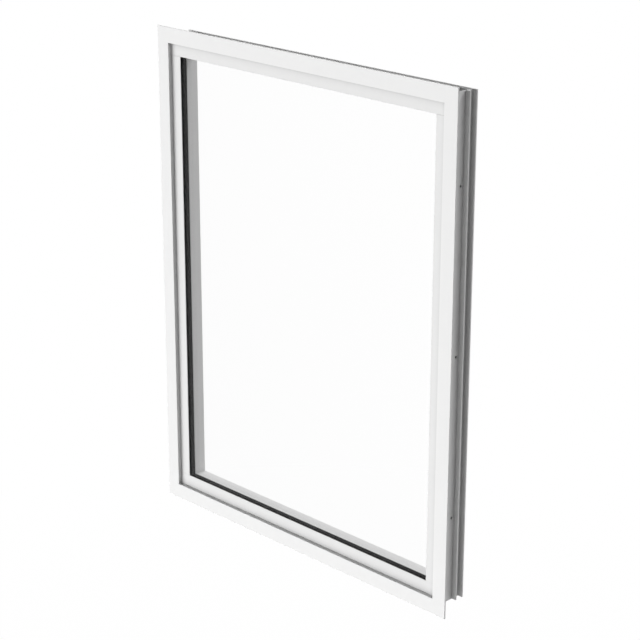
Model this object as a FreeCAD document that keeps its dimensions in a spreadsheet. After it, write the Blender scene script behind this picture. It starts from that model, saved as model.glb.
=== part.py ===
import FreeCAD, Part
import itertools
import os
import Sketcher

# Fixed picture window with a flange that laps the wall round its opening: a
# hollow aluminium frame, snap-in glazing beads, gaskets and an insulating
# glass unit. Millimetres, +Z up, the outside of the house towards -Y.
# The origin is on the back of the sill's flange, at the middle of the window,
# level with the bottom of the frame.

doc = FreeCAD.newDocument("picture_window")
sheet = doc.addObject("Spreadsheet::Sheet", "sizes")
rows = itertools.count(1)


class Length:
    """A length in millimetres, with the formula that ties it to the sheet."""

    def __init__(self, value, formula):
        self.value = value
        self.formula = formula

    def __add__(self, other):
        return Length(self.value + other.value, f"{self.formula} + {other.formula}")

    def __sub__(self, other):
        return Length(self.value - other.value, f"{self.formula} - ({other.formula})")

    def __rmul__(self, factor):
        return Length(factor * self.value, f"{factor} * ({self.formula})")


def cell(name, value):
    """Write a driving size to the sheet's next row."""
    row = next(rows)
    sheet.set(f"A{row}", name)
    sheet.set(f"B{row}", str(value))
    sheet.setAlias(f"B{row}", name)
    return Length(value, f"sizes.{name}")


# Overall size, over the flange
flange_width = cell("flange_width", 940.0)
flange_height = cell("flange_height", 1203.0)

# Frame section, from the flange's outer edge inwards
flange_overhang = cell("flange_overhang", 18.8)
fin_length = cell("fin_length", 11.2)
throat_width = cell("throat_width", 7.0)
pocket_step = cell("pocket_step", 10.0)
block_height = cell("block_height", 6.0)
glass_bite = cell("glass_bite", 14.4)
leg_setback = cell("leg_setback", 1.4)
leg_length = cell("leg_length", 6.0)

# Frame section, from the flange's front face to the back
flange_thick = cell("flange_thick", 3.5)
bead_setback = cell("bead_setback", 10.5)
bead_thick = cell("bead_thick", 1.6)
bead_foot_height = cell("bead_foot_height", 1.9)
gasket_thick = cell("gasket_thick", 1.3)
pane_thick = cell("pane_thick", 4.0)
cavity_width = cell("cavity_width", 12.0)
tape_thick = cell("tape_thick", 1.5)
leg_thick = cell("leg_thick", 3.5)
reveal_length = cell("reveal_length", 34.5)
rear_wall_length = cell("rear_wall_length", 10.5)

# Walls and fins of the frame
wall_thick = cell("wall_thick", 1.8)
fin_thick = cell("fin_thick", 4.0)
fin_gap = cell("fin_gap", 17.4)

# Rounding of the edges that are touched or show
flange_radius = cell("flange_radius", 0.8)
fin_radius = cell("fin_radius", 0.8)
bead_radius = cell("bead_radius", 0.5)
gasket_radius = cell("gasket_radius", 0.5)

# Screw holes in the jambs' outer walls
screw_hole_diameter = cell("screw_hole_diameter", 6.0)
countersink_diameter = cell("countersink_diameter", 7.0)
screw_setback = cell("screw_setback", 8.0)
screw_spacing = cell("screw_spacing", 380.0)

# Bead, gasket, tape, spacer and setting blocks
bead_clearance = cell("bead_clearance", 0.2)
bead_foot_thick = cell("bead_foot_thick", 2.0)
gasket_width = cell("gasket_width", 8.0)
tape_width = cell("tape_width", 8.5)
edge_seal_depth = cell("edge_seal_depth", 12.7)
block_length = cell("block_length", 100.0)
block_inset = cell("block_inset", 158.0)

# Lines of the section that several pieces share
zero = Length(0, "0")
wall_outer = flange_overhang + fin_length
wall_inner = wall_outer + wall_thick
flange_face = wall_outer + throat_width
pocket_floor = flange_face + pocket_step
glass_edge = pocket_floor + block_height
sightline = glass_edge + glass_bite
leg_tip = sightline - leg_setback
reveal = leg_tip - leg_length

bead_back = bead_setback + bead_thick
web_front = bead_back + bead_foot_height
glass_front = bead_back + gasket_thick
cavity_front = glass_front + pane_thick
cavity_back = cavity_front + cavity_width
glass_back = cavity_back + pane_thick
leg_front = glass_back + tape_thick
leg_back = leg_front + leg_thick
reveal_end = leg_back + reveal_length
frame_back = reveal_end + rear_wall_length
rear_fin_front = frame_back - fin_thick
front_fin_back = rear_fin_front - fin_gap
front_fin_front = front_fin_back - fin_thick
screw_line = front_fin_front - screw_setback

# The four sides, clockwise from the left as seen from outside. Each starts
# at an outer corner of the flange and is drawn with x inwards from the
# flange's edge, y back from its front face and z along the side.
RIGHT = FreeCAD.Vector(1, 0, 0)
BACK = FreeCAD.Vector(0, 1, 0)
UP = FreeCAD.Vector(0, 0, 1)
half_width = 0.5 * flange_width
flange_top = flange_height - flange_overhang
flange_bottom = zero - flange_overhang
SIDES = {
    "left": (zero - half_width, flange_bottom, RIGHT, UP, flange_height),
    "head": (zero - half_width, flange_top, -UP, RIGHT, flange_width),
    "right": (half_width, flange_top, -RIGHT, -UP, flange_height),
    "sill": (half_width, flange_bottom, UP, -RIGHT, flange_width),
}


def new_body(name, side):
    """A body that stands at the start of its side."""
    x, z, inwards, along, _ = SIDES[side]
    y = zero - flange_thick
    body = doc.addObject("PartDesign::Body", name)
    body.Label = name
    body.Placement = FreeCAD.Placement(
        FreeCAD.Vector(x.value, y.value, z.value),
        FreeCAD.Rotation(inwards, BACK, along),
    )
    body.setExpression("Placement.Base.x", x.formula)
    body.setExpression("Placement.Base.y", y.formula)
    body.setExpression("Placement.Base.z", z.formula)
    return body


def new_sketch(body, name, plane, offset):
    """A sketch on one of the body's own planes, moved along its normal."""
    sketch = body.newObject("Sketcher::SketchObject", name)
    features = body.Origin.OriginFeatures
    support = next(feature for feature in features if feature.Role == plane)
    sketch.AttachmentSupport = [(support, "")]
    sketch.MapMode = "FlatFace"
    sketch.setExpression("AttachmentOffset.Base.z", offset.formula)
    return sketch


def place(sketch, line, point, across, up):
    """Hold a point of the sketch at its two distances from the origin."""
    for kind, axis, distance in (("DistanceX", -2, across), ("DistanceY", -1, up)):
        if distance is zero:
            sketch.addConstraint(Sketcher.Constraint("PointOnObject", line, point, axis))
            continue
        datum = Sketcher.Constraint(kind, -1, 1, line, point, distance.value)
        number = sketch.addConstraint(datum)
        sketch.setExpression(f"Constraints[{number}]", distance.formula)


def draw(sketch, corners):
    """Add a closed outline with its corners at (across, up)."""
    first = sketch.GeometryCount
    points = [FreeCAD.Vector(across.value, up.value, 0) for across, up in corners]
    ends = points[1:] + points[:1]
    for start, end in zip(points, ends):
        sketch.addGeometry(Part.LineSegment(start, end), False)
    for index in range(len(corners)):
        after = first + (index + 1) % len(corners)
        joint = Sketcher.Constraint("Coincident", first + index, 2, after, 1)
        sketch.addConstraint(joint)
    for index, (across, up) in enumerate(corners):
        place(sketch, first + index, 1, across, up)


def rectangle(inset, inset_end, depth, depth_end):
    return [
        (inset, depth),
        (inset_end, depth),
        (inset_end, depth_end),
        (inset, depth_end),
    ]


def pad(body, name, outlines, start, end):
    """Extrude a section along the side, from start to end."""
    sketch = new_sketch(body, f"{name}_section", "XY_Plane", start)
    for outline in outlines:
        draw(sketch, outline)
    feature = body.newObject("PartDesign::Pad", name)
    feature.Profile = sketch
    feature.setExpression("Length", (end - start).formula)
    return feature


def strip(name, side, section, end_inset):
    """A length of one section that stops short of both ends of its side."""
    body = new_body(name, side)
    pad(body, f"{name}_length", [section], end_inset, SIDES[side][-1] - end_inset)
    return body


# Places nearer to each other than this are the same place
SAME_PLACE = 0.001


def on_line(point, line):
    """Whether a point lies on a line, given as (inset, depth, distance along
    the side), with None for the one that runs free."""
    pairs = zip(point, line)
    return all(place is None or abs(value - place.value) < SAME_PLACE for value, place in pairs)


def round_edges(body, name, radius, lines):
    """Round the edges of a body that lie on the given lines."""
    doc.recompute()
    base = body.Tip
    edges = []
    for number, edge in enumerate(base.Shape.Edges, 1):
        ends = [vertex.Point for vertex in edge.Vertexes]
        if any(all(on_line(end, line) for end in ends) for line in lines):
            edges.append(f"Edge{number}")
    feature = body.newObject("PartDesign::Fillet", name)
    feature.Base = (base, edges)
    feature.setExpression("Radius", radius.formula)


FRAME_OUTLINE = [
    (zero, zero),
    (flange_face, zero),
    (flange_face, web_front),
    (pocket_floor, web_front),
    (pocket_floor, leg_front),
    (leg_tip, leg_front),
    (leg_tip, leg_back),
    (reveal, leg_back),
    (reveal, reveal_end),
    (wall_inner, reveal_end),
    (wall_inner, frame_back),
    (flange_overhang, frame_back),
    (flange_overhang, rear_fin_front),
    (wall_outer, rear_fin_front),
    (wall_outer, front_fin_back),
    (flange_overhang, front_fin_back),
    (flange_overhang, front_fin_front),
    (wall_outer, front_fin_front),
    (wall_outer, flange_thick),
    (zero, flange_thick),
]

FRAME_HOLLOW = [
    (wall_inner, flange_thick),
    (flange_face - wall_thick, flange_thick),
    (flange_face - wall_thick, web_front + wall_thick),
    (pocket_floor - wall_thick, web_front + wall_thick),
    (pocket_floor - wall_thick, leg_back),
    (reveal - wall_thick, leg_back),
    (reveal - wall_thick, reveal_end - wall_thick),
    (wall_inner, reveal_end - wall_thick),
]

FIN_EDGES = [
    (flange_overhang, front_fin_front, None),
    (flange_overhang, front_fin_back, None),
    (flange_overhang, rear_fin_front, None),
    (flange_overhang, frame_back, None),
]


def jamb(name, side):
    """A side member, cut square at the frame's top and bottom. Its flange
    runs on past both cuts to the corners of the window."""
    body = new_body(name, side)
    length = SIDES[side][-1]
    cut_end = length - flange_overhang
    pad(body, f"{name}_extrusion", [FRAME_OUTLINE, FRAME_HOLLOW], flange_overhang, cut_end)
    flange = rectangle(zero, flange_face, zero, flange_thick)
    pad(body, f"{name}_flange", [flange], zero, length)
    doc.recompute()
    drill(body, name, length)
    flange_edges = [(zero, zero, None), (None, zero, zero), (None, zero, length)]
    round_edges(body, f"{name}_flange_edges", flange_radius, flange_edges)
    round_edges(body, f"{name}_fin_edges", fin_radius, FIN_EDGES)
    return body


def drill(body, name, length):
    """Countersunk screw holes through the outer wall, one at mid-height."""
    sketch = new_sketch(body, f"{name}_screw_places", "YZ_Plane", wall_outer)
    middle = 0.5 * length
    for height in (middle - screw_spacing, middle, middle + screw_spacing):
        centre = FreeCAD.Vector(screw_line.value, height.value, 0)
        normal = FreeCAD.Vector(0, 0, 1)
        circle = Part.Circle(centre, normal, screw_hole_diameter.value / 2)
        index = sketch.addGeometry(circle, False)
        place(sketch, index, 3, screw_line, height)
        datum = Sketcher.Constraint("Diameter", index, screw_hole_diameter.value)
        number = sketch.addConstraint(datum)
        sketch.setExpression(f"Constraints[{number}]", screw_hole_diameter.formula)
    doc.recompute()
    hole = body.newObject("PartDesign::Hole", f"{name}_screw_holes")
    hole.Profile = sketch
    hole.Reversed = True
    hole.DepthType = "Dimension"
    hole.DrillPoint = "Flat"
    hole.HoleCutType = "Countersink"
    hole.HoleCutCustomValues = True
    hole.HoleCutCountersinkAngle = 90
    hole.setExpression("Diameter", screw_hole_diameter.formula)
    hole.setExpression("HoleCutDiameter", countersink_diameter.formula)
    hole.setExpression("Depth", (2 * wall_thick).formula)


def crosspiece(name, side):
    """The head or sill: the same extrusion, coped to the jambs' section."""
    body = new_body(name, side)
    length = SIDES[side][-1]
    cut_end = length - flange_overhang
    pad(body, f"{name}_extrusion", [FRAME_OUTLINE, FRAME_HOLLOW], flange_overhang, cut_end)
    jamb_section = [
        (zero, zero),
        (zero, flange_face),
        (web_front, flange_face),
        (web_front, pocket_floor),
        (leg_front, pocket_floor),
        (leg_front, leg_tip),
        (leg_back, leg_tip),
        (leg_back, reveal),
        (reveal_end, reveal),
        (reveal_end, wall_inner),
        (frame_back, wall_inner),
        (frame_back, zero),
    ]
    far_end = [(depth, length - inset) for depth, inset in jamb_section]
    sketch = new_sketch(body, f"{name}_coping", "YZ_Plane", zero)
    draw(sketch, jamb_section)
    draw(sketch, far_end)
    cope = body.newObject("PartDesign::Pocket", f"{name}_coped_ends")
    cope.Profile = sketch
    cope.Type = "ThroughAll"
    cope.Reversed = True
    round_edges(body, f"{name}_flange_edge", flange_radius, [(zero, zero, None)])
    round_edges(body, f"{name}_fin_edges", fin_radius, FIN_EDGES)
    return body


parts = [
    jamb("jamb_left", "left"),
    crosspiece("head", "head"),
    jamb("jamb_right", "right"),
    crosspiece("sill", "sill"),
]

# Beads, gaskets, spacers and tape: those of the head and sill run from side
# to side, and those of the jambs fit between them.
bead_outer = flange_face + bead_clearance
BEAD_SECTION = [
    (bead_outer, bead_setback),
    (sightline, bead_setback),
    (sightline, bead_back),
    (bead_outer + bead_foot_thick, bead_back),
    (bead_outer + bead_foot_thick, web_front),
    (bead_outer, web_front),
]
BEAD_NOSE = [(sightline, bead_setback, None)]
GASKET_SECTION = rectangle(sightline - gasket_width, sightline, bead_back, glass_front)
GASKET_LIP = [(sightline, bead_back, None), (sightline, glass_front, None)]
spacer_inner = glass_edge + edge_seal_depth
SPACER_SECTION = rectangle(glass_edge, spacer_inner, cavity_front, cavity_back)
TAPE_SECTION = rectangle(leg_tip - tape_width, leg_tip, glass_back, leg_front)

for side in SIDES:
    upright = side in ("left", "right")
    bead_end = sightline + bead_clearance if upright else bead_outer
    gasket_end = sightline if upright else sightline - gasket_width
    spacer_end = spacer_inner if upright else glass_edge
    tape_end = leg_tip if upright else leg_tip - tape_width
    bead = strip(f"bead_{side}", side, BEAD_SECTION, bead_end)
    round_edges(bead, f"bead_{side}_nose", bead_radius, BEAD_NOSE)
    gasket = strip(f"gasket_{side}", side, GASKET_SECTION, gasket_end)
    round_edges(gasket, f"gasket_{side}_lip", gasket_radius, GASKET_LIP)
    parts += [bead, gasket]
    parts.append(strip(f"spacer_{side}", side, SPACER_SECTION, spacer_end))
    parts.append(strip(f"tape_{side}", side, TAPE_SECTION, tape_end))

# Two panes of the glass unit, drawn from the left edge to the right one
far_glass_edge = flange_width - glass_edge
OUTER_PANE = rectangle(glass_edge, far_glass_edge, glass_front, cavity_front)
INNER_PANE = rectangle(glass_edge, far_glass_edge, cavity_back, glass_back)
parts.append(strip("glass_outer", "left", OUTER_PANE, glass_edge))
parts.append(strip("glass_inner", "left", INNER_PANE, glass_edge))

# Setting blocks carry the glass unit on the floor of the sill's pocket. The
# sill is drawn from right to left.
BLOCK_SECTION = rectangle(pocket_floor, glass_edge, glass_front, glass_back)
near_block = glass_edge + block_inset
far_block = flange_width - near_block - block_length
for name, start in (("setting_block_right", near_block), ("setting_block_left", far_block)):
    block = new_body(name, "sill")
    pad(block, f"{name}_length", [BLOCK_SECTION], start, start + block_length)
    parts.append(block)

doc.recompute()
for item in doc.Objects:
    if {"Invalid", "Error"} & set(item.State):
        raise RuntimeError(f"{item.Label} failed: {item.State}")
for item in parts:
    if item.Shape.isNull() or not item.Shape.isValid():
        raise RuntimeError(f"{item.Label} has no valid shape")

os.makedirs("parts", exist_ok=True)
for item in parts:
    item.Shape.exportStep(f"parts/{item.Label}.step")
    print(item.Label, len(item.Shape.Solids), round(item.Shape.Volume, 1))
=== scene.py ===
import math

import bpy
from mathutils import Matrix, Vector


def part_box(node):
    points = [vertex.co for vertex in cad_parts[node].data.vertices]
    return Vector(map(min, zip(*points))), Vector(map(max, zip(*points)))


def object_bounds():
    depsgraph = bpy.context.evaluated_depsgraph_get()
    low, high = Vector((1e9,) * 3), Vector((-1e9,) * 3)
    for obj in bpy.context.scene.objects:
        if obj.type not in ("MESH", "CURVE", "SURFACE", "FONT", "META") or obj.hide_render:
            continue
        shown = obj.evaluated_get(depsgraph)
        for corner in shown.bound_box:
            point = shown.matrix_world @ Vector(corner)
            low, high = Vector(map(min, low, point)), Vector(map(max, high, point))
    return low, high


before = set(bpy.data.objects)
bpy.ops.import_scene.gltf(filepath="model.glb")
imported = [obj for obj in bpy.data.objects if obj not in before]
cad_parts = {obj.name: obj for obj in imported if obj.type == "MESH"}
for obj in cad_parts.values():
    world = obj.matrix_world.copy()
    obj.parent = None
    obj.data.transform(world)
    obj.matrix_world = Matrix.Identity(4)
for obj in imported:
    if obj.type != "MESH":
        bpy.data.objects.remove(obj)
cad_box = [list(corner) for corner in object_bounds()]


# Frame: two jambs, a head and a sill, cut from one hollow aluminium extrusion.
# The jambs run through, and the head and sill are coped to them and screwed.
# All four are etched and powder coated white before they are put together.
def linear(hex_colour):
    """An sRGB colour such as #F0F0EF as linear red, green, blue and alpha."""
    shares = [int(hex_colour[start : start + 2], 16) / 255 for start in (1, 3, 5)]
    return [s / 12.92 if s <= 0.04045 else ((s + 0.055) / 1.055) ** 2.4 for s in shares] + [1.0]


def add_node(tree, kind, inputs, **settings):
    """A new node with its settings, and each input set to a value or linked to a socket."""
    node = tree.nodes.new(kind)
    for name, value in settings.items():
        setattr(node, name, value)
    for name, value in inputs.items():
        if isinstance(value, bpy.types.NodeSocket):
            tree.links.new(value, node.inputs[name])
        else:
            node.inputs[name].default_value = value
    return node


def new_material(name):
    """A material with an empty tree, and the object coordinates of what wears it."""
    material = bpy.data.materials.new(name)
    material.use_nodes = True
    material.node_tree.nodes.clear()
    coordinates = add_node(material.node_tree, "ShaderNodeTexCoord", {})
    return material, material.node_tree, coordinates.outputs["Object"]


def dress(material, *names):
    """Gives CAD nodes a material in place of the plain one that they came with."""
    for name in names:
        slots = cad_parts[name].data.materials
        slots.clear()
        slots.append(material)


def along_the_length(tree, place, pitch_mm, length_mm, upright):
    """Object coordinates in line widths across a piece and line lengths along it."""
    across = 1000 / pitch_mm
    along = 1000 / length_mm
    scale = (across, across, along) if upright else (along, across, across)
    return add_node(tree, "ShaderNodeMapping", {"Vector": place, "Scale": scale}).outputs["Vector"]


# A Mix node's sockets share their names, so they are found by number.
mix_share = 0
mix_number_a, mix_number_b, mixed_number = 2, 3, 0
mix_colour_a, mix_colour_b, mixed_colour = 6, 7, 2


def powder_coat(name, upright, painted_shade_mm, corner, thin, line, thick):
    """Baked polyester powder on drawn aluminium: a satin film that flows into a shallow orange
    peel, with the die's lines just showing along the piece. The colours are for painted shade
    in inside corners, which an occlusion test blends in over the given reach in mm, for thin
    film, for a die line and for thick film."""
    material, tree, place = new_material(name)
    film_mm = 70
    peel_mm = 4.0  # real cells are about 2 mm wide, and drawn at twice that to show
    die_line_mm = 3.0  # real lines are about 0.5 mm apart
    die_line_length_mm = 1500
    die_line_share = 0.3  # of the relief, and the rest is orange peel
    relief_mm = 0.12
    full_shade_at = 0.4  # share of open air at which a corner gets the full painted shade
    no_shade_at = 0.95  # and at which it gets no painted shade
    film = add_node(tree, "ShaderNodeTexNoise", {"Vector": place, "Scale": 1000 / film_mm, "Detail": 3.0})
    peel = add_node(tree, "ShaderNodeTexNoise", {"Vector": place, "Scale": 1000 / peel_mm, "Detail": 1.5})
    stretched = along_the_length(tree, place, die_line_mm, die_line_length_mm, upright)
    lines = add_node(tree, "ShaderNodeTexNoise", {"Vector": stretched, "Scale": 1.0, "Detail": 1.0})
    tone = add_node(
        tree,
        "ShaderNodeMix",
        {mix_share: film.outputs["Fac"], mix_colour_a: linear(thin), mix_colour_b: linear(thick)},
        data_type="RGBA",
    )
    toned = add_node(
        tree,
        "ShaderNodeMix",
        {
            mix_share: lines.outputs["Fac"],
            mix_colour_a: tone.outputs[mixed_colour],
            mix_colour_b: linear(line),
        },
        data_type="RGBA",
    )
    # Painted shade: an ambient-occlusion test darkens inside corners towards the corner colour.
    occlusion = add_node(tree, "ShaderNodeAmbientOcclusion", {"Distance": painted_shade_mm / 1000}, samples=8)
    unshaded = add_node(
        tree,
        "ShaderNodeMapRange",
        {"Value": occlusion.outputs["AO"], "From Min": full_shade_at, "From Max": no_shade_at},
    )
    colour = add_node(
        tree,
        "ShaderNodeMix",
        {
            mix_share: unshaded.outputs["Result"],
            mix_colour_a: linear(corner),
            mix_colour_b: toned.outputs[mixed_colour],
        },
        data_type="RGBA",
    )
    satin = add_node(
        tree, "ShaderNodeMapRange", {"Value": film.outputs["Fac"], "To Min": 0.36, "To Max": 0.48}
    )
    relief = add_node(
        tree,
        "ShaderNodeMix",
        {
            mix_share: die_line_share,
            mix_number_a: peel.outputs["Fac"],
            mix_number_b: lines.outputs["Fac"],
        },
        data_type="FLOAT",
    )
    surface = add_node(
        tree,
        "ShaderNodeBump",
        {"Height": relief.outputs[mixed_number], "Strength": 0.35, "Distance": relief_mm / 1000},
    )
    paint = add_node(
        tree,
        "ShaderNodeBsdfPrincipled",
        {
            "Base Color": colour.outputs[mixed_colour],
            "Roughness": satin.outputs["Result"],
            "IOR": 1.5,
            "Normal": surface.outputs["Normal"],
        },
    )
    add_node(tree, "ShaderNodeOutputMaterial", {"Surface": paint.outputs["BSDF"]})
    return material


# The corner colour and its reach in mm are painted shade for the inside corners.
frame_white = dict(painted_shade_mm=16, corner="#C4C4C4", thin="#E4E4E4", line="#E6E6E6", thick="#E9E9E8")
dress(powder_coat("white_powder_coat_upright", upright=True, **frame_white), "jamb_left", "jamb_right")
dress(powder_coat("white_powder_coat_level", upright=False, **frame_white), "head", "sill")


# Glazing tape: a strip of closed-cell polyethylene foam with adhesive on both
# faces, stuck to the front of the frame's inner leg. The glass is pressed on it.
def foam_tape():
    """Cut foam: matt charcoal, with the open halves of its cells along the cut edge."""
    material, tree, place = new_material("black_foam_tape")
    cell_mm = 1.5  # real cells are about 0.4 mm
    pit_mm = 0.2
    cells = add_node(tree, "ShaderNodeTexVoronoi", {"Vector": place, "Scale": 1000 / cell_mm})
    # The cell middles, where the bump sinks into pits, are drawn darker: painted shade in the open cells.
    colour = add_node(
        tree,
        "ShaderNodeMix",
        {
            mix_share: cells.outputs["Distance"],
            mix_colour_a: linear("#101010"),
            mix_colour_b: linear("#1A1A1A"),
        },
        data_type="RGBA",
    )
    pits = add_node(
        tree,
        "ShaderNodeBump",
        {"Height": cells.outputs["Distance"], "Strength": 0.5, "Distance": pit_mm / 1000},
    )
    foam = add_node(
        tree,
        "ShaderNodeBsdfPrincipled",
        {
            "Base Color": colour.outputs[mixed_colour],
            "Roughness": 0.85,
            "Specular IOR Level": 0.1,
            "Normal": pits.outputs["Normal"],
        },
    )
    add_node(tree, "ShaderNodeOutputMaterial", {"Surface": foam.outputs["BSDF"]})
    return material


dress(foam_tape(), "tape_left", "tape_right", "tape_head", "tape_sill")


# Setting blocks: two moulded neoprene blocks on the floor of the sill's pocket.
# They carry the glass unit's weight and keep its edge off the metal.
def neoprene():
    """Moulded hard rubber: dark grey, dull, with a dusting of talc from the mould."""
    material, tree, place = new_material("moulded_neoprene")
    talc_mm = 6
    dust = add_node(tree, "ShaderNodeTexNoise", {"Vector": place, "Scale": 1000 / talc_mm, "Detail": 5.0})
    colour = add_node(
        tree,
        "ShaderNodeMix",
        {mix_share: dust.outputs["Fac"], mix_colour_a: linear("#202020"), mix_colour_b: linear("#353535")},
        data_type="RGBA",
    )
    dull = add_node(
        tree, "ShaderNodeMapRange", {"Value": dust.outputs["Fac"], "To Min": 0.55, "To Max": 0.8}
    )
    rubber = add_node(
        tree,
        "ShaderNodeBsdfPrincipled",
        {"Base Color": colour.outputs[mixed_colour], "Roughness": dull.outputs["Result"], "IOR": 1.52},
    )
    add_node(tree, "ShaderNodeOutputMaterial", {"Surface": rubber.outputs["BSDF"]})
    return material


dress(neoprene(), "setting_block_left", "setting_block_right")


# Spacers: black warm-edge bars between the panes, filled with desiccant and
# bonded with butyl. Small holes along the middle let the desiccant breathe.
def spacer_bar(name, upright):
    """Roll-formed black composite: low sheen, with a row of pin holes facing the cavity."""
    material, tree, place = new_material(name)
    hole_pitch_mm = 12.0  # real holes are about 2 mm apart
    hole_mm = 1.4  # and under 0.5 mm across
    hole_floor = 0.8  # share of a hole that is flat, inside its sloping rim
    hole_depth_mm = 0.4
    grain_mm = 2.0
    low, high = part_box("spacer_left")
    middle = (low[1] + high[1]) / 2
    axes = add_node(tree, "ShaderNodeSeparateXYZ", {"Vector": place})
    steps = add_node(
        tree,
        "ShaderNodeMath",
        {0: axes.outputs["Z" if upright else "X"], 1: hole_pitch_mm / 2 / 1000},
        operation="PINGPONG",
    )
    off_line = add_node(
        tree, "ShaderNodeMath", {0: axes.outputs["Y"], 1: middle}, operation="SUBTRACT"
    )
    spot = add_node(
        tree, "ShaderNodeCombineXYZ", {"X": steps.outputs[0], "Y": off_line.outputs[0], "Z": 0.0}
    )
    reach = add_node(tree, "ShaderNodeVectorMath", {0: spot.outputs["Vector"]}, operation="LENGTH")
    hole_radius = hole_mm / 2 / 1000
    solid = add_node(
        tree,
        "ShaderNodeMapRange",
        {
            "Value": reach.outputs["Value"],
            "From Min": hole_floor * hole_radius,
            "From Max": hole_radius,
        },
    )
    grain = add_node(tree, "ShaderNodeTexNoise", {"Vector": place, "Scale": 1000 / grain_mm, "Detail": 2.0})
    body = add_node(
        tree,
        "ShaderNodeMix",
        {mix_share: grain.outputs["Fac"], mix_colour_a: linear("#101010"), mix_colour_b: linear("#181818")},
        data_type="RGBA",
    )
    # The near-black #040404 fills the pin holes as painted shade inside them.
    colour = add_node(
        tree,
        "ShaderNodeMix",
        {
            mix_share: solid.outputs["Result"],
            mix_colour_a: linear("#040404"),
            mix_colour_b: body.outputs[mixed_colour],
        },
        data_type="RGBA",
    )
    holes = add_node(
        tree,
        "ShaderNodeBump",
        {"Height": solid.outputs["Result"], "Strength": 0.6, "Distance": hole_depth_mm / 1000},
    )
    bar = add_node(
        tree,
        "ShaderNodeBsdfPrincipled",
        {
            "Base Color": colour.outputs[mixed_colour],
            "Roughness": 0.6,
            "Specular IOR Level": 0.1,
            "Normal": holes.outputs["Normal"],
        },
    )
    add_node(tree, "ShaderNodeOutputMaterial", {"Surface": bar.outputs["BSDF"]})
    return material


dress(spacer_bar("black_spacer_bar_upright", upright=True), "spacer_left", "spacer_right")
dress(spacer_bar("black_spacer_bar_level", upright=False), "spacer_head", "spacer_sill")


# Panes: two sheets of 4 mm clear float glass, bonded to the spacers as one
# insulating unit, with its edges hidden in the pocket of the frame.
def float_glass():
    """Low-iron float glass: colourless and even, with a faint mirror and a roller wave too slight
    to see except in reflections. Light passes it freely, as shadow rays do here."""
    material, tree, place = new_material("clear_float_glass")
    roller_wave_mm = 300
    wave_height_mm = 0.2
    wave = add_node(
        tree, "ShaderNodeTexNoise", {"Vector": place, "Scale": 1000 / roller_wave_mm, "Detail": 0.0}
    )
    flow = add_node(
        tree,
        "ShaderNodeBump",
        {"Height": wave.outputs["Fac"], "Strength": 0.05, "Distance": wave_height_mm / 1000},
    )
    glass = add_node(
        tree,
        "ShaderNodeBsdfPrincipled",
        {
            "Base Color": linear("#FFFFFF"),
            "Roughness": 0.0,
            "IOR": 1.52,
            "Specular Tint": linear("#101010"),
            "Transmission Weight": 1.0,
            "Normal": flow.outputs["Normal"],
        },
    )
    clear = add_node(tree, "ShaderNodeBsdfTransparent", {"Color": linear("#FFFFFF")})
    rays = add_node(tree, "ShaderNodeLightPath", {})
    pane = add_node(
        tree,
        "ShaderNodeMixShader",
        {0: rays.outputs["Is Shadow Ray"], 1: glass.outputs["BSDF"], 2: clear.outputs["BSDF"]},
    )
    add_node(tree, "ShaderNodeOutputMaterial", {"Surface": pane.outputs["Shader"]})
    return material


dress(float_glass(), "glass_outer", "glass_inner")


# Beads: aluminium angles that snap in front of the glass, the head and sill ones
# first and the side ones between them. Their coat is drawn a little greyer than the
# frame's, as painted shade for beads set back behind the flange, and its corner
# colour is darker, as deeper painted shade in their inside corners.
bead_white = dict(painted_shade_mm=20, corner="#A8A8A8", thin="#DDDDDD", line="#DFDFDF", thick="#E2E2E1")
dress(powder_coat("white_bead_coat_upright", upright=True, **bead_white), "bead_left", "bead_right")
dress(powder_coat("white_bead_coat_level", upright=False, **bead_white), "bead_head", "bead_sill")


# Gaskets: black EPDM wedges pushed in between the beads and the outer pane,
# with a rounded lip that wipes the glass along the sight line.
def epdm(name, upright):
    """Extruded rubber: soft black, with fine lines along it and a faint grey bloom."""
    material, tree, place = new_material(name)
    line_mm = 1.0  # real lines are about 0.2 mm apart
    line_length_mm = 400
    ridge_mm = 0.1
    bloom_mm = 25
    stretched = along_the_length(tree, place, line_mm, line_length_mm, upright)
    lines = add_node(tree, "ShaderNodeTexNoise", {"Vector": stretched, "Scale": 1.0, "Detail": 2.0})
    bloom = add_node(tree, "ShaderNodeTexNoise", {"Vector": place, "Scale": 1000 / bloom_mm, "Detail": 4.0})
    colour = add_node(
        tree,
        "ShaderNodeMix",
        {mix_share: bloom.outputs["Fac"], mix_colour_a: linear("#161616"), mix_colour_b: linear("#222222")},
        data_type="RGBA",
    )
    sheen = add_node(
        tree, "ShaderNodeMapRange", {"Value": lines.outputs["Fac"], "To Min": 0.5, "To Max": 0.7}
    )
    ridges = add_node(
        tree,
        "ShaderNodeBump",
        {"Height": lines.outputs["Fac"], "Strength": 0.3, "Distance": ridge_mm / 1000},
    )
    rubber = add_node(
        tree,
        "ShaderNodeBsdfPrincipled",
        {
            "Base Color": colour.outputs[mixed_colour],
            "Roughness": sheen.outputs["Result"],
            "Specular IOR Level": 0.2,
            "Normal": ridges.outputs["Normal"],
        },
    )
    add_node(tree, "ShaderNodeOutputMaterial", {"Surface": rubber.outputs["BSDF"]})
    return material


dress(epdm("black_epdm_upright", upright=True), "gasket_left", "gasket_right")
dress(epdm("black_epdm_level", upright=False), "gasket_head", "gasket_sill")


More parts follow.
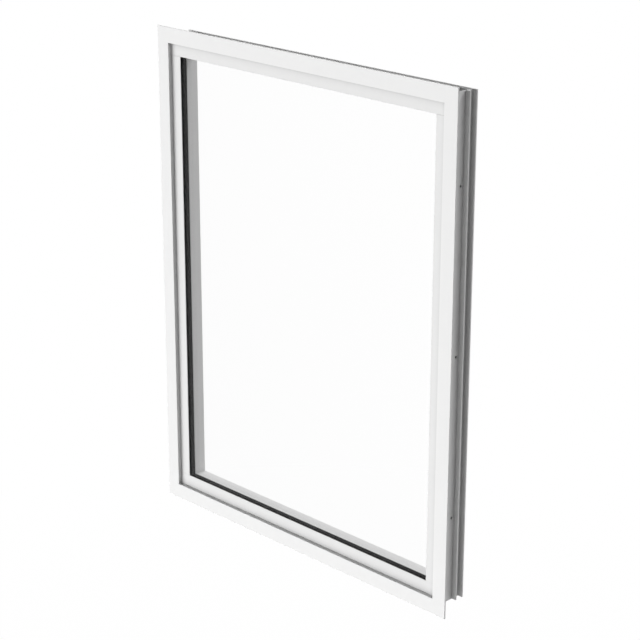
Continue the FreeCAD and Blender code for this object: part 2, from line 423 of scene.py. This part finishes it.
# Studio: a pale floor as far below the window as below one in a wall, white
# all round, a wide key lamp from the front left, and a weaker one high behind.
def seen_white(tree, y):
    """How far a ray sees white instead of lit things, and how bright that white is. The camera
    sees it, and so do rays through glass or off a mirror, until a matt surface scatters them.
    What is mirrored from in front of the window, where y is under 0, is dim, and dimmer in paint
    than in the glass, which mirrors sharply."""
    front_in_paint = 0.4
    front_in_glass = 0.75
    one_mirror = 0.5  # a ray with a glossy depth over this has met a mirror
    rays = add_node(tree, "ShaderNodeLightPath", {})
    seen = rays.outputs["Is Camera Ray"]
    for kind in ("Is Transmission Ray", "Is Glossy Ray"):
        either = add_node(tree, "ShaderNodeMath", {0: seen, 1: rays.outputs[kind]}, operation="MAXIMUM")
        seen = either.outputs[0]
    straight = add_node(
        tree, "ShaderNodeMath", {0: seen, 1: rays.outputs["Diffuse Depth"]}, operation="GREATER_THAN"
    )
    unmirrored = add_node(
        tree, "ShaderNodeMath", {0: rays.outputs["Glossy Depth"], 1: one_mirror}, operation="LESS_THAN"
    )
    behind = add_node(tree, "ShaderNodeMath", {0: y, 1: 0.0}, operation="GREATER_THAN")
    sharp = add_node(
        tree, "ShaderNodeMath", {0: rays.outputs["Is Singular Ray"], 1: front_in_glass}, operation="MULTIPLY"
    )
    bright = unmirrored.outputs[0]
    for level in (behind.outputs[0], sharp.outputs[0], front_in_paint):
        bright = add_node(tree, "ShaderNodeMath", {0: bright, 1: level}, operation="MAXIMUM").outputs[0]
    return straight.outputs[0], bright


def studio_paper():
    """Matt white paper: it looks as white as the surroundings, apart from a small share near the
    middle that shows the light and shadow on it."""
    material, tree, place = new_material("white_studio_paper")
    shadow_share = 0.02
    shadow_reach = 2.5
    spot = add_node(tree, "ShaderNodeSeparateXYZ", {"Vector": place})
    reach = add_node(tree, "ShaderNodeVectorMath", {0: place}, operation="LENGTH")
    share = add_node(
        tree,
        "ShaderNodeMapRange",
        {
            "Value": reach.outputs["Value"],
            "From Max": shadow_reach,
            "To Min": 1 - shadow_share,
            "To Max": 1.0,
        },
    )
    seen, brightness = seen_white(tree, spot.outputs["Y"])
    lit = add_node(tree, "ShaderNodeMath", {0: seen, 1: share.outputs["Result"]}, operation="MULTIPLY")
    sheet = add_node(tree, "ShaderNodeBsdfDiffuse", {"Color": linear("#D8D8D8")})
    glow = add_node(tree, "ShaderNodeEmission", {"Color": linear("#FFFFFF"), "Strength": brightness})
    mixed = add_node(
        tree,
        "ShaderNodeMixShader",
        {0: lit.outputs[0], 1: sheet.outputs["BSDF"], 2: glow.outputs["Emission"]},
    )
    add_node(tree, "ShaderNodeOutputMaterial", {"Surface": mixed.outputs["Shader"]})
    return material


floor_below = 0.9
floor_size = 6.0
bpy.ops.object.select_all(action="DESELECT")
bpy.ops.mesh.primitive_plane_add(size=floor_size, location=(0, 0, -floor_below))
floor = bpy.context.object
floor.name = "floor"
floor.data.materials.append(studio_paper())

room_light = 0.05
backdrop_light = 0.42
backdrop_edge = 0.2
world = bpy.data.worlds.new("studio")
bpy.context.scene.world = world
world.use_nodes = True
tree = world.node_tree
tree.nodes.clear()
towards = add_node(tree, "ShaderNodeTexCoord", {}).outputs["Generated"]
heading = add_node(tree, "ShaderNodeSeparateXYZ", {"Vector": towards})
ambient = add_node(
    tree,
    "ShaderNodeMapRange",
    {
        "Value": heading.outputs["Y"],
        "From Min": -backdrop_edge,
        "From Max": backdrop_edge,
        "To Min": room_light,
        "To Max": backdrop_light,
    },
)
room = add_node(
    tree, "ShaderNodeBackground", {"Color": linear("#FFFFFF"), "Strength": ambient.outputs["Result"]}
)
seen, brightness = seen_white(tree, heading.outputs["Y"])
white = add_node(tree, "ShaderNodeBackground", {"Color": linear("#FFFFFF"), "Strength": brightness})
both = add_node(
    tree,
    "ShaderNodeMixShader",
    {0: seen, 1: room.outputs["Background"], 2: white.outputs["Background"]},
)
add_node(tree, "ShaderNodeOutputWorld", {"Surface": both.outputs["Shader"]})

low, high = (Vector(corner) for corner in cad_box)
window_middle = (low + high) / 2


def add_lamp(name, azimuth, elevation, level, width):
    """A soft box turned to the middle of the window. At level 1 a small one renders a white sheet
    that faces it white, and one as wide as the key about a fifth less. Azimuth is in degrees from
    straight in front, towards the right. Shadow rays pass the panes, so rays bent by the glass
    miss the lamp, or it would shine through twice."""
    height = 8.0
    distance = 20.0
    lamp = bpy.data.lights.new(name, "AREA")
    lamp.shape = "RECTANGLE"
    lamp.size = width
    lamp.size_y = height
    lamp.energy = level * (math.pi * distance) ** 2
    stand = bpy.data.objects.new(name, lamp)
    bpy.context.collection.objects.link(stand)
    turn = Matrix.Rotation(math.radians(azimuth), 3, "Z")
    tilt = Matrix.Rotation(math.radians(90 - elevation), 3, "X")
    stand.location = window_middle + turn @ tilt @ Vector((0, 0, distance))
    stand.rotation_euler = (turn @ tilt).to_euler()
    stand.visible_glossy = False
    stand.visible_transmission = False


add_lamp("key_lamp", azimuth=-19, elevation=1, level=1.28, width=24.0)
add_lamp("rear_lamp", azimuth=162, elevation=48, level=0.76, width=12.0)

# Camera: on the photograph's line of sight, from the front right and above.
# Its place, tilt and lens are the ones that bring the frame's corners into line.
azimuth = math.radians(45.296)
elevation = math.radians(19.458)
roll = math.radians(0.132)
distance = 4.30388
target = Vector((0.07465, -0.0035, 0.58763))
turn = (
    Matrix.Rotation(azimuth, 3, "Z")
    @ Matrix.Rotation(math.pi / 2 - elevation, 3, "X")
    @ Matrix.Rotation(roll, 3, "Z")
)
lens = bpy.data.cameras.new("camera")
lens.sensor_width = 36.0
lens.lens = 107.167
camera = bpy.data.objects.new("camera", lens)
bpy.context.collection.objects.link(camera)
camera.location = target + turn @ Vector((0, 0, distance))
camera.rotation_euler = turn.to_euler()
bpy.context.scene.camera = camera
bpy.context.scene.view_settings.view_transform = "Standard"
